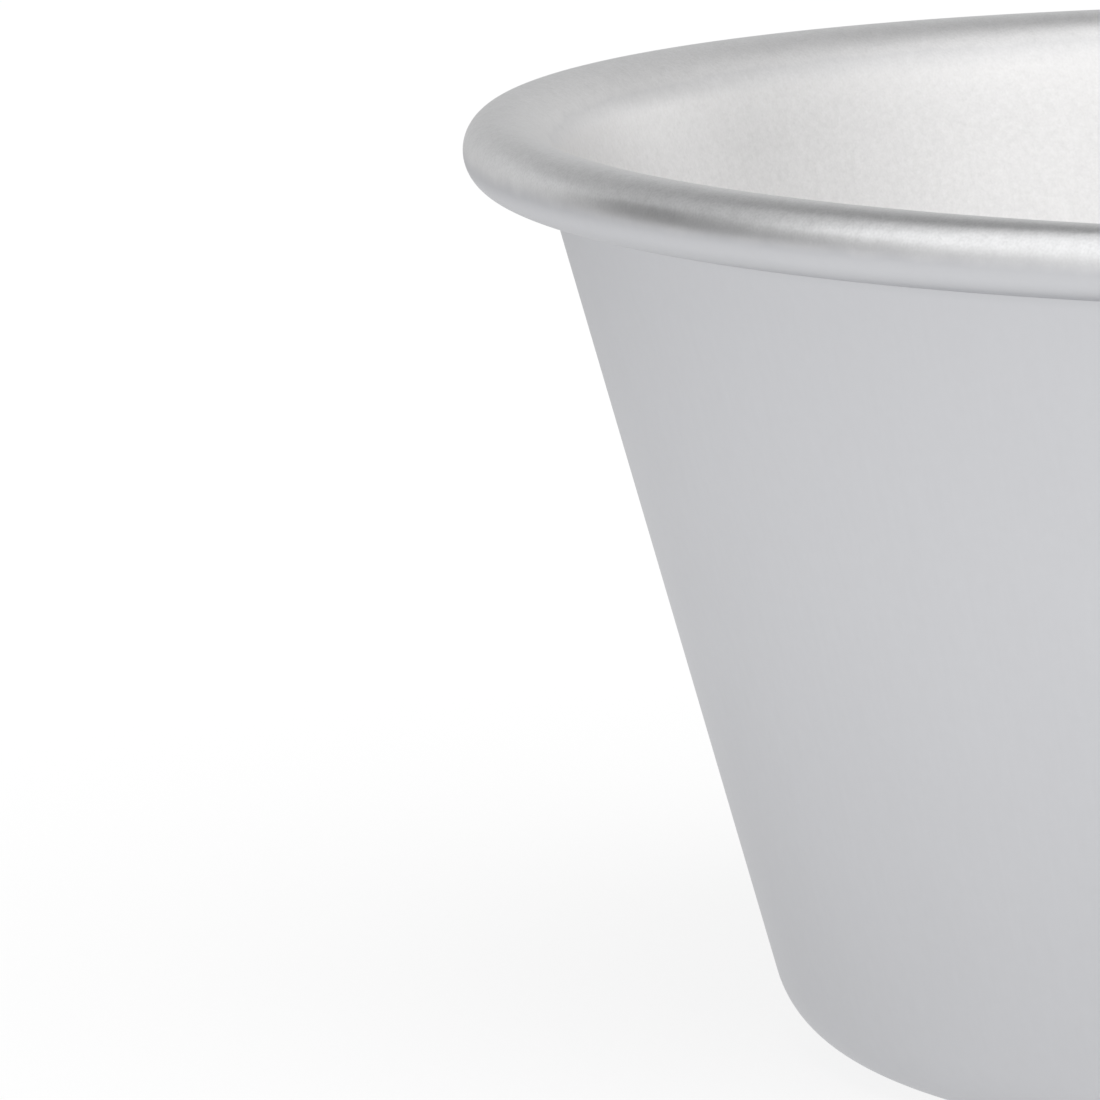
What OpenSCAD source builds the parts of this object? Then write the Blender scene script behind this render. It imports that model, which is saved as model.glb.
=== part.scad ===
// Pudding basin: a tapered bowl pressed from one disc of sheet, with a rounded
// foot and a rolled rim. It stands on its flat base, centred on the Z axis.

/* [Bowl] */
// Height from the table to the crest of the rim
basin_h = 45; // [35:0.5:75]
// Thickness of the sheet
sheet_t = 1; // [0.8:0.1:1.2]
// Lean of the wall away from upright, in degrees
wall_lean = 16; // [8:0.5:20]
// Outside radius of the bend between base and wall
foot_r = 5; // [3:0.5:9]

/* [Rolled rim] */
// Diameter across the outside of the rim
rim_d = 93; // [85:1:130]
// Outside diameter of the roll
roll_d = 3.4; // [3:0.1:5]
// Angle that the roll turns through, from its crest to the sheet's cut edge
roll_turn = 250; // [200:5:260]
// Clearance where the roll closes against the wall
roll_gap = 0.05; // [0.05:0.05:0.4]

/* [Hidden] */
$fn = 128;

// Bends of the section are drawn in steps of at most this many degrees
bend_step = 5;

// Points of the section are [radius, height]. This unit vector points squarely
// from the wall into the bowl.
inward = [-cos(wall_lean), sin(wall_lean)];

// The roll sets how far out the whole wall stands. The wall's outer face passes
// the middle of the roll at wall_reach.
roll_r = roll_d / 2;
roll_mid = [rim_d / 2 - roll_r, basin_h - roll_r];
wall_reach = roll_r + roll_gap;

// The shoulder bends the wall over into the crest of the roll. Its middle is
// straight below the crest, and its top is tangent to the wall's inner face.
shoulder_r = (wall_reach + sheet_t - roll_r * inward[1]) / (1 - inward[1]);
shoulder_mid = [roll_mid[0], basin_h - shoulder_r];

// The foot touches the table, and its outside is tangent to the wall's outer face
foot_rise = roll_mid[1] - foot_r;
foot_mid = [roll_mid[0] + (foot_rise * inward[1] + wall_reach + foot_r) / inward[0], foot_r];

// Directions in which the bends begin and end, seen from their middles
table_side = -90;
crest_side = 90;
inner_side = 180 - wall_lean;
outer_side = -wall_lean;
cut_side = crest_side - roll_turn;

// Points along an arc of radius r about mid, from one direction to another
function arc(mid, r, from, to) =
    let (steps = ceil(abs(to - from) / bend_step))
    [for (i = [0:steps])
        let (angle = from + (to - from) * i / steps)
        mid + r * [cos(angle), sin(angle)]];

// Half of the sheet's section. It runs along the underside from the middle of
// the base to the cut edge inside the roll, and back along the upper side.
// Straight runs of sheet join the ends of neighbouring arcs.
module section() {
    underside = concat(
        [[0, 0]],
        arc(foot_mid, foot_r, table_side, outer_side),
        arc(shoulder_mid, shoulder_r - sheet_t, inner_side, crest_side),
        arc(roll_mid, roll_r - sheet_t, crest_side, cut_side)
    );
    upper_side = concat(
        arc(roll_mid, roll_r, cut_side, crest_side),
        arc(shoulder_mid, shoulder_r, crest_side, inner_side),
        arc(foot_mid, foot_r - sheet_t, outer_side, table_side),
        [[0, sheet_t]]
    );
    polygon(concat(underside, upper_side));
}

module basin() {
    color([0.79, 0.80, 0.81])
        rotate_extrude()
            section();
}

basin();
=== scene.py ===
"""Pudding basin in satin aluminium, on a white floor.

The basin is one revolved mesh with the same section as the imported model, drawn finely enough for a
close view. One procedural material gives the three finishes of the sheet: the dull outside, the
bright and finely grained inside, and the burnished top of the rolled rim.
"""
import math

import bpy
from mathutils import Matrix, Vector

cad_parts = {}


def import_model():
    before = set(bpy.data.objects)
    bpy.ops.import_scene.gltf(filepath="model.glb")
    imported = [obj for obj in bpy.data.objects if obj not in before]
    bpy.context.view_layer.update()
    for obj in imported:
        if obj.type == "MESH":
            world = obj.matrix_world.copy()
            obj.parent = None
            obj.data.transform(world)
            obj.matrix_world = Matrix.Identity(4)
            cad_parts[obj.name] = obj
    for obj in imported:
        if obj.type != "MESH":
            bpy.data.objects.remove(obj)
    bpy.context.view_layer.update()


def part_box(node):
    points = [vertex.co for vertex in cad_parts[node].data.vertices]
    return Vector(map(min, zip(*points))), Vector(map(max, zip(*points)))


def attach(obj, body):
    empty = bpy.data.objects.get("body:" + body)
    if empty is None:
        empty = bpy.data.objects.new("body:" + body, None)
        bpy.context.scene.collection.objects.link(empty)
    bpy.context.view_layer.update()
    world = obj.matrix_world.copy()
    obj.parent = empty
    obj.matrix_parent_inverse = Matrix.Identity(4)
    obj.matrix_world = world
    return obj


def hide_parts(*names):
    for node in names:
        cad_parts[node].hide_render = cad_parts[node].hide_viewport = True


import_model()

MM = 0.001

# Sizes of the basin. The height and the rim come from the frame.
basin_low, basin_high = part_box("basin")
BASIN_H = basin_high.z
RIM_R = basin_high.x
SHEET_T = 1 * MM
WALL_LEAN = math.radians(16)
FOOT_R = 5 * MM
ROLL_R = 1.7 * MM
ROLL_TURN = math.radians(250)
ROLL_GAP = 0.05 * MM

# Middles of the three bends, as (radius, height)
inward = Vector((-math.cos(WALL_LEAN), math.sin(WALL_LEAN)))
roll_mid = Vector((RIM_R - ROLL_R, BASIN_H - ROLL_R))
wall_reach = ROLL_R + ROLL_GAP
shoulder_r = (wall_reach + SHEET_T - ROLL_R * inward.y) / (1 - inward.y)
shoulder_mid = Vector((roll_mid.x, BASIN_H - shoulder_r))
foot_rise = roll_mid.y - FOOT_R
foot_mid = Vector((roll_mid.x + (foot_rise * inward.y + wall_reach + FOOT_R) / inward.x, FOOT_R))

# Directions in which the bends begin and end, seen from their middles
TABLE_SIDE = -math.pi / 2
CREST_SIDE = math.pi / 2
INNER_SIDE = math.pi - WALL_LEAN
OUTER_SIDE = -WALL_LEAN
CUT_SIDE = CREST_SIDE - ROLL_TURN

# The mesh: columns round the axis, the angle between rows on a bend, rows on the straight
# stretches, and the angle from which an edge is sharp
COLUMNS = 480
FINE_BEND = math.radians(3.5)
COARSE_BEND = math.radians(12)
WALL_ROWS = 12
BASE_ROWS = 4
SHARP_ANGLE = math.radians(40)


def arc(mid, radius, start, end, step):
    """Points along a bend of the section."""
    count = math.ceil(abs(end - start) / step)
    angles = [start + (end - start) * i / count for i in range(count + 1)]
    return [mid + radius * Vector((math.cos(a), math.sin(a))) for a in angles]


def run(start, end, rows):
    """Points along a straight stretch of the section, without its ends."""
    return [start.lerp(end, i / rows) for i in range(1, rows)]


def section():
    """Outline of the sheet, from the middle of the underside round to the middle of the inside.
    Each point is (radius, height, inside, roll), and the last two say how far it belongs there."""
    points = []

    def add(outline, inside=0.0, roll=0.0):
        points.extend((p.x, p.y, inside, roll) for p in outline)

    underside = arc(foot_mid, FOOT_R, TABLE_SIDE, OUTER_SIDE, FINE_BEND)
    under_shoulder = arc(shoulder_mid, shoulder_r - SHEET_T, INNER_SIDE, CREST_SIDE, COARSE_BEND)
    under_roll = arc(roll_mid, ROLL_R - SHEET_T, CREST_SIDE, CUT_SIDE, COARSE_BEND)
    add([Vector((0, 0))])
    add(run(Vector((0, 0)), underside[0], BASE_ROWS))
    add(underside)
    add(run(underside[-1], under_shoulder[0], WALL_ROWS))
    add(under_shoulder)
    add(under_roll[1:])

    over_roll = arc(roll_mid, ROLL_R, CUT_SIDE, CREST_SIDE, FINE_BEND)
    over_shoulder = arc(shoulder_mid, shoulder_r, CREST_SIDE, INNER_SIDE, FINE_BEND)
    inner_foot = arc(foot_mid, FOOT_R - SHEET_T, OUTER_SIDE, TABLE_SIDE, FINE_BEND)
    middle = Vector((0, SHEET_T))
    add(over_roll, roll=1.0)
    last = len(over_shoulder) - 1
    for i, p in enumerate(over_shoulder[1:], 1):
        add([p], inside=i / last, roll=1 - i / last)
    add(run(over_shoulder[-1], inner_foot[0], WALL_ROWS), inside=1.0)
    add(inner_foot, inside=1.0)
    add(run(inner_foot[-1], middle, BASE_ROWS), inside=1.0)
    add([middle], inside=1.0)
    return points


def revolve(name, outline):
    """Closed mesh of revolution about Z. The outline starts and ends on the axis."""
    rings = outline[1:-1]
    verts = [(0, 0, outline[0][1])]
    for radius, height, _, _ in rings:
        for i in range(COLUMNS):
            a = 2 * math.pi * i / COLUMNS
            verts.append((radius * math.cos(a), radius * math.sin(a), height))
    verts.append((0, 0, outline[-1][1]))

    def at(ring, column):
        return 1 + ring * COLUMNS + column % COLUMNS

    faces = [(0, at(0, i + 1), at(0, i)) for i in range(COLUMNS)]
    for ring in range(len(rings) - 1):
        for i in range(COLUMNS):
            faces.append((at(ring, i), at(ring, i + 1), at(ring + 1, i + 1), at(ring + 1, i)))
    top = len(verts) - 1
    final = len(rings) - 1
    faces += [(top, at(final, i), at(final, i + 1)) for i in range(COLUMNS)]

    mesh = bpy.data.meshes.new(name)
    mesh.from_pydata(verts, [], faces)
    mesh.shade_smooth()
    weights = [outline[0]] + [p for p in rings for _ in range(COLUMNS)] + [outline[-1]]
    for label, index in (("inside", 2), ("roll", 3)):
        layer = mesh.attributes.new(label, "FLOAT", "POINT")
        layer.data.foreach_set("value", [w[index] for w in weights])
    piece = bpy.data.objects.new(name, mesh)
    bpy.context.scene.collection.objects.link(piece)
    return piece


basin = revolve("basin_sheet", section())
basin.data.set_sharp_from_angle(angle=SHARP_ANGLE)
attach(basin, "root")
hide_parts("basin")


# Materials

# A Mix node's sockets for colours come after those for numbers and vectors
MIX_FIRST_COLOUR = 6
MIX_SECOND_COLOUR = 7
MIX_COLOUR = 2


class Nodes:
    """Adds nodes to a tree and links them."""

    def __init__(self, tree):
        tree.nodes.clear()
        self.tree = tree

    def make(self, kind, inputs=None, **settings):
        """A node with its settings. An input is a value, or the output that feeds it."""
        node = self.tree.nodes.new(kind)
        for key, value in settings.items():
            setattr(node, key, value)
        for key, value in (inputs or {}).items():
            if isinstance(value, bpy.types.NodeSocket):
                self.tree.links.new(value, node.inputs[key])
            else:
                node.inputs[key].default_value = value
        return node

    def math(self, operation, *values):
        return self.make("ShaderNodeMath", dict(enumerate(values)), operation=operation).outputs[0]

    def vector(self, operation, *values):
        node = self.make("ShaderNodeVectorMath", dict(enumerate(values)), operation=operation)
        return node.outputs

    def mask(self, attribute):
        return self.make("ShaderNodeAttribute", attribute_name=attribute).outputs["Fac"]

    def noise(self, place, size, detail=2.0):
        """Cloudy pattern about 0, with features of the given size."""
        pattern = self.make("ShaderNodeTexNoise", {
            "Vector": place, "Scale": 1 / size, "Detail": detail,
        }).outputs["Fac"]
        return self.math("SUBTRACT", pattern, 0.5)

    def ramp(self, value, low, high):
        """0 up to low, 1 from high on, and smooth between."""
        return self.make("ShaderNodeMapRange", {
            "Value": value, "From Min": low, "From Max": high,
        }, interpolation_type="SMOOTHSTEP").outputs["Result"]

    def blend(self, amount, first, second):
        """Colour that goes from first to second."""
        node = self.make("ShaderNodeMix", {
            "Factor": amount, MIX_FIRST_COLOUR: first, MIX_SECOND_COLOUR: second,
        }, data_type="RGBA")
        return node.outputs[MIX_COLOUR]

    def background(self):
        """1 where the background is seen, straight or in metal or glass, and 0 where it lights."""
        path = self.make("ShaderNodeLightPath").outputs
        seen = self.math("ADD", path["Is Camera Ray"], path["Is Glossy Ray"])
        return self.math("ADD", seen, path["Is Transmission Ray"])


def new_material(name):
    material = bpy.data.materials.new(name)
    material.use_nodes = True
    material.cycles.emission_sampling = "NONE"
    return material, Nodes(material.node_tree)


# Finishes of the sheet: the dull one outside and under the roll, the bright one inside, and the
# burnished one on top of the roll
DULL_ROUGHNESS = 0.5
INSIDE_ROUGHNESS = 0.36
ROLL_ROUGHNESS = 0.31
DULL_COLOUR = (0.659, 0.664, 0.685, 1)
INSIDE_COLOUR = (0.922, 0.915, 0.912, 1)
ROLL_COLOUR = (0.895, 0.898, 0.906, 1)
EDGE_TINT = (0.8, 0.8, 0.8, 1)

# Sizes of the features in the patterns
FLECK_SIZE = 0.12 * MM
GRAIN_SIZE = 0.28 * MM
LINE_SIZE = 0.35 * MM
RING_SIZE = 0.6 * MM
SPOT_SIZE = 0.7 * MM
WAVE_SIZE = 1.2 * MM
PATCH_SIZE = 2.5 * MM
CLOUD_SIZE = 9 * MM

# The burnished finish comes in between two heights on the outer side of the roll, which the
# patches shift up and down
BURNISH_LOW = roll_mid.y - 0.4 * MM
BURNISH_HIGH = roll_mid.y + 0.9 * MM
BURNISH_SHIFT = 0.6 * MM

# Rings on the base give way to lines up the wall, which fade below the shoulder. Their pattern
# sees a squeezed height, which makes the lines long.
RINGS_END = 1.5 * MM
LINES_BEGIN = 5 * MM
LINES_FADE = BASIN_H - 8 * MM
LINES_END = BASIN_H - 2 * MM
LINE_SQUEEZE = 0.08

# Painted shade on the dull side, darker towards the foot, under the roll and in the seam under it,
# where shade falls: the share of its colour that the dull side shows at the table, and what is added
# to that up the wall as far as WALL_FULL, on the roll, and in the seam under the roll
FOOT_PAINTED_SHADE = 0.91
WALL_ADDS = 0.08
WALL_FULL = 0.7 * BASIN_H
ROLL_PAINTED_SHADE = -0.03
SEAM_PAINTED_SHADE = -0.08
SEAM_HEIGHT = BASIN_H - 2 * ROLL_R
SEAM_CORE = 0.1 * MM
SEAM_REACH = 0.9 * MM

# Painted light on the inside's shoulder: what is added there to the share of its colour that the
# inside shows
SHOULDER_PAINTED_LIGHT = 0.05
SHOULDER_LOW = BASIN_H - 5 * MM
SHOULDER_HIGH = BASIN_H - 1.5 * MM


def drawing_marks(n, spot, height):
    """Pattern about 0 of the marks that drawing the sheet left."""
    flat = n.vector("MULTIPLY", spot, (1, 1, 0))["Vector"]
    outward = n.vector("NORMALIZE", flat)["Vector"]
    round_wall = n.vector("MULTIPLY", outward, (RIM_R,) * 3)["Vector"]
    squeezed = n.math("MULTIPLY", height, LINE_SQUEEZE)
    up_wall = n.make("ShaderNodeCombineXYZ", {"Z": squeezed}).outputs["Vector"]
    lines = n.noise(n.vector("ADD", round_wall, up_wall)["Vector"], LINE_SIZE)

    radius = n.vector("LENGTH", flat)["Value"]
    outwards = n.make("ShaderNodeCombineXYZ", {"X": radius}).outputs["Vector"]
    rings = n.noise(outwards, RING_SIZE)

    on_wall = n.ramp(height, RINGS_END, LINES_BEGIN)
    marks = n.math("MULTIPLY_ADD", on_wall, n.math("SUBTRACT", lines, rings), rings)
    return n.math("MULTIPLY", marks, n.ramp(height, LINES_END, LINES_FADE))


def painted_dull_shade(n, height, roll, bright):
    """Share of its colour that the dull side shows, with painted shade towards the foot, under the
    roll and in the seam under it. On the bright finishes it is 1.
    """
    shade = n.math("MULTIPLY_ADD", n.ramp(height, 0.0, WALL_FULL), WALL_ADDS, FOOT_PAINTED_SHADE)
    shade = n.math("MULTIPLY_ADD", roll, ROLL_PAINTED_SHADE, shade)
    from_seam = n.math("ABSOLUTE", n.math("SUBTRACT", height, SEAM_HEIGHT))
    seam = n.ramp(from_seam, SEAM_REACH, SEAM_CORE)
    shade = n.math("MULTIPLY_ADD", seam, SEAM_PAINTED_SHADE, shade)
    dull = n.math("SUBTRACT", 1.0, bright)
    return n.math("MULTIPLY_ADD", n.math("SUBTRACT", shade, 1.0), dull, 1.0)


def aluminium():
    """Bare sheet. The outside is dull and even apart from painted shade towards the foot, under the
    roll and in the seam, the inside is bright with a fine grain, faint drawing marks and painted
    light on its shoulder, and the top of the roll is bright and unevenly burnished."""
    material, n = new_material("satin_aluminium")
    spot = n.make("ShaderNodeTexCoord").outputs["Object"]
    height = n.make("ShaderNodeSeparateXYZ", {"Vector": spot}).outputs["Z"]
    inside = n.mask("inside")
    roll = n.mask("roll")

    # Patterns
    flecks = n.noise(spot, FLECK_SIZE, 0.0)
    grain = n.noise(spot, GRAIN_SIZE)
    spots = n.noise(spot, SPOT_SIZE, 4.0)
    waves = n.noise(spot, WAVE_SIZE, 1.0)
    patches = n.noise(spot, PATCH_SIZE, 4.0)
    clouds = n.noise(spot, CLOUD_SIZE, 3.0)
    drawing = drawing_marks(n, spot, height)

    # Where the finishes are
    ragged = n.math("MULTIPLY_ADD", patches, BURNISH_SHIFT, height)
    on_top = n.ramp(ragged, BURNISH_LOW, BURNISH_HIGH)
    bright = n.math("MAXIMUM", inside, on_top)
    burnished = n.math("MULTIPLY", roll, bright)

    def finish(dull_value, inside_value, roll_value):
        """Number that differs between the dull outside, the inside and the top of the roll."""
        value = n.math("MULTIPLY_ADD", bright, inside_value - dull_value, dull_value)
        return n.math("MULTIPLY_ADD", burnished, roll_value - inside_value, value)

    # Heights in millimetres
    bumps = n.math("MULTIPLY", grain, finish(0.001, 0.005, 0.003))
    bumps = n.math("MULTIPLY_ADD", waves, finish(0.002, 0.004, 0.015), bumps)
    bumps = n.math("MULTIPLY_ADD", spots, finish(0.0, 0.0, 0.006), bumps)
    bumps = n.math("MULTIPLY_ADD", drawing, finish(0.0005, 0.003, 0.0), bumps)
    relief = n.make("ShaderNodeBump", {"Height": bumps, "Distance": MM})

    roughness = finish(DULL_ROUGHNESS, INSIDE_ROUGHNESS, ROLL_ROUGHNESS)
    roughness = n.math("MULTIPLY_ADD", clouds, finish(0.1, 0.1, 0.05), roughness)
    roughness = n.math("MULTIPLY_ADD", spots, finish(0.03, 0.05, 0.0), roughness)

    # Share of the finish's colour that each place shows
    tone = n.math("MULTIPLY_ADD", clouds, finish(0.08, 0.06, 0.06), 1.0)
    tone = n.math("MULTIPLY_ADD", spots, finish(0.04, 0.08, 0.16), tone)
    tone = n.math("MULTIPLY_ADD", grain, finish(0.01, 0.14, 0.08), tone)
    tone = n.math("MULTIPLY_ADD", flecks, finish(0.0, 0.08, 0.18), tone)
    tone = n.math("MULTIPLY_ADD", drawing, finish(0.02, 0.05, 0.0), tone)
    # Painted shade: the dull side darker towards the foot, under the roll and in the seam under it
    tone = n.math("MULTIPLY", tone, painted_dull_shade(n, height, roll, bright))
    # Painted light: the inside lighter on its shoulder, below the crest of the roll
    shoulder = n.math("MULTIPLY", inside, n.ramp(height, SHOULDER_LOW, SHOULDER_HIGH))
    tone = n.math("MULTIPLY_ADD", shoulder, SHOULDER_PAINTED_LIGHT, tone)

    bowl = n.blend(bright, DULL_COLOUR, INSIDE_COLOUR)
    metal = n.blend(burnished, bowl, ROLL_COLOUR)
    colour = n.make("ShaderNodeVectorMath", {0: metal, "Scale": tone}, operation="SCALE")
    shader = n.make("ShaderNodeBsdfPrincipled", {
        "Base Color": colour.outputs["Vector"],
        "Metallic": 1.0,
        "Roughness": roughness,
        "Specular Tint": EDGE_TINT,
        "Normal": relief.outputs["Normal"],
    })
    n.make("ShaderNodeOutputMaterial", {"Surface": shader.outputs["BSDF"]})
    return material


basin.data.materials.append(aluminium())


# Studio: a white floor and surround, and a wide soft lamp. Grey cards round the basin, near and
# far, give the metal something darker to reflect.

AMBIENT = 0.6
FLOOR_SIZE = 6.0
FLOOR_DROP = 0.01 * MM
FLOOR_GLOW = 0.8
FLOOR_COLOUR = (0.22, 0.22, 0.22, 1)
LAMP_AZIMUTH = math.radians(40)
LAMP_HEIGHT = math.radians(55)
LAMP_SPREAD = math.radians(70)
LAMP_STRENGTH = 1.4
FAR_CARD = 2.9
NEAR_CARD = 0.15
CARD_COLUMNS = 32
CARD_ROWS = 12


def direction(azimuth, elevation):
    """Unit vector. Azimuth 0 is the camera's side, and it grows to the right."""
    level = math.cos(elevation)
    return Vector((math.sin(azimuth) * level, -math.cos(azimuth) * level, math.sin(elevation)))


def floor():
    mesh = bpy.data.meshes.new("floor")
    h = FLOOR_SIZE / 2
    mesh.from_pydata([(-h, -h, 0), (h, -h, 0), (h, h, 0), (-h, h, 0)], [], [(0, 1, 2, 3)])
    plane = bpy.data.objects.new("floor", mesh)
    bpy.context.scene.collection.objects.link(plane)
    plane.location.z = -FLOOR_DROP
    material, n = new_material("white_floor")
    diffuse = n.make("ShaderNodeBsdfDiffuse", {"Color": FLOOR_COLOUR})
    strength = n.math("MULTIPLY", n.background(), FLOOR_GLOW)
    glow = n.make("ShaderNodeEmission", {"Strength": strength})
    both = n.make("ShaderNodeAddShader", {0: diffuse.outputs["BSDF"], 1: glow.outputs["Emission"]})
    n.make("ShaderNodeOutputMaterial", {"Surface": both.outputs["Shader"]})
    mesh.materials.append(material)


def world():
    w = bpy.data.worlds.new("studio")
    w.use_nodes = True
    w.cycles.sampling_method = "NONE"
    bpy.context.scene.world = w
    n = Nodes(w.node_tree)
    strength = n.math("MULTIPLY_ADD", n.background(), 1 - AMBIENT, AMBIENT)
    white = n.make("ShaderNodeBackground", {"Color": (1, 1, 1, 1), "Strength": strength})
    n.make("ShaderNodeOutputWorld", {"Surface": white.outputs["Background"]})


def lamp():
    """Lights the floor. The metal shows the white surround in its place."""
    light = bpy.data.lights.new("soft_lamp", "SUN")
    light.angle = LAMP_SPREAD
    light.energy = LAMP_STRENGTH
    holder = bpy.data.objects.new("soft_lamp", light)
    bpy.context.scene.collection.objects.link(holder)
    toward = direction(LAMP_AZIMUTH, LAMP_HEIGHT)
    holder.matrix_world = (-toward).to_track_quat("-Z", "Y").to_matrix().to_4x4()
    holder.visible_glossy = False


def between(stops, share):
    """Value at a share of the way through evenly spaced stops."""
    place = share * (len(stops) - 1)
    first = min(int(place), len(stops) - 2)
    return stops[first] + (stops[first + 1] - stops[first]) * (place - first)


def card(name, distance, azimuths, elevations, low_greys, high_greys):
    """Card curved round the basin, between two azimuths and two elevations in degrees. Its lower
    and upper edges each have evenly spaced greys from side to side. Only reflections show it."""
    verts = []
    shades = []
    for row in range(CARD_ROWS + 1):
        up = row / CARD_ROWS
        elevation = math.radians(between(elevations, up))
        for column in range(CARD_COLUMNS + 1):
            across = column / CARD_COLUMNS
            azimuth = math.radians(between(azimuths, across))
            verts.append(distance * direction(azimuth, elevation))
            edges = (between(low_greys, across), between(high_greys, across))
            shades.append(between(edges, up))
    faces = []
    next_row = CARD_COLUMNS + 1
    for row in range(CARD_ROWS):
        for column in range(CARD_COLUMNS):
            corner = row * next_row + column
            faces.append((corner, corner + 1, corner + next_row + 1, corner + next_row))
    mesh = bpy.data.meshes.new(name)
    mesh.from_pydata(verts, [], faces)
    mesh.attributes.new("shade", "FLOAT", "POINT").data.foreach_set("value", shades)
    material, n = new_material(name)
    glow = n.make("ShaderNodeEmission", {"Strength": n.mask("shade")})
    n.make("ShaderNodeOutputMaterial", {"Surface": glow.outputs["Emission"]})
    mesh.materials.append(material)
    sheet = bpy.data.objects.new(name, mesh)
    bpy.context.scene.collection.objects.link(sheet)
    sheet.visible_camera = False
    sheet.visible_diffuse = False
    sheet.visible_shadow = False


floor()
world()
lamp()
card(
    "back_card", FAR_CARD, azimuths=(75, 275), elevations=(0, 68),
    low_greys=(0.85, 0.52, 0.95, 0.64, 0.05), high_greys=(1.0, 0.67, 0.13, 0.12, 0.9),
)
card(
    "left_card", NEAR_CARD, azimuths=(135, 262), elevations=(0, 33),
    low_greys=(0.95, 0.75, 0.7, 0.9), high_greys=(1.0, 0.75, 0.65, 0.65),
)
card(
    "side_card", NEAR_CARD, azimuths=(262, 345), elevations=(8, 33),
    low_greys=(0.0, 0.1, 0.6, 0.8), high_greys=(0.0, 0.45, 1.0, 0.9),
)


# Camera, fitted to the basin's outlines in the photograph

PHOTO_WIDTH_PX = 1100
FOCAL_PX = 10789.7
SENSOR_W = 36
CAMERA_BACK = 11 * RIM_R
CAMERA_UP = 1.38129 * RIM_R
CAMERA_YAW = math.radians(4.7584)
CAMERA_PITCH = math.radians(9.3127)
CAMERA_ROLL = math.radians(-0.2583)
CLIP_START = 0.01


def camera():
    data = bpy.data.cameras.new("camera")
    data.sensor_width = SENSOR_W
    data.lens = FOCAL_PX / PHOTO_WIDTH_PX * SENSOR_W
    data.clip_start = CLIP_START
    cam = bpy.data.objects.new("camera", data)
    bpy.context.scene.collection.objects.link(cam)
    ahead = Vector((
        -math.sin(CAMERA_YAW) * math.cos(CAMERA_PITCH),
        math.cos(CAMERA_YAW) * math.cos(CAMERA_PITCH),
        -math.sin(CAMERA_PITCH),
    ))
    place = Matrix.Translation((0, -CAMERA_BACK, roll_mid.y + CAMERA_UP))
    level = ahead.to_track_quat("-Z", "Y").to_matrix().to_4x4()
    cam.matrix_world = place @ level @ Matrix.Rotation(CAMERA_ROLL, 4, "Z")
    bpy.context.scene.camera = cam


camera()

bpy.context.scene.view_settings.view_transform = "Standard"
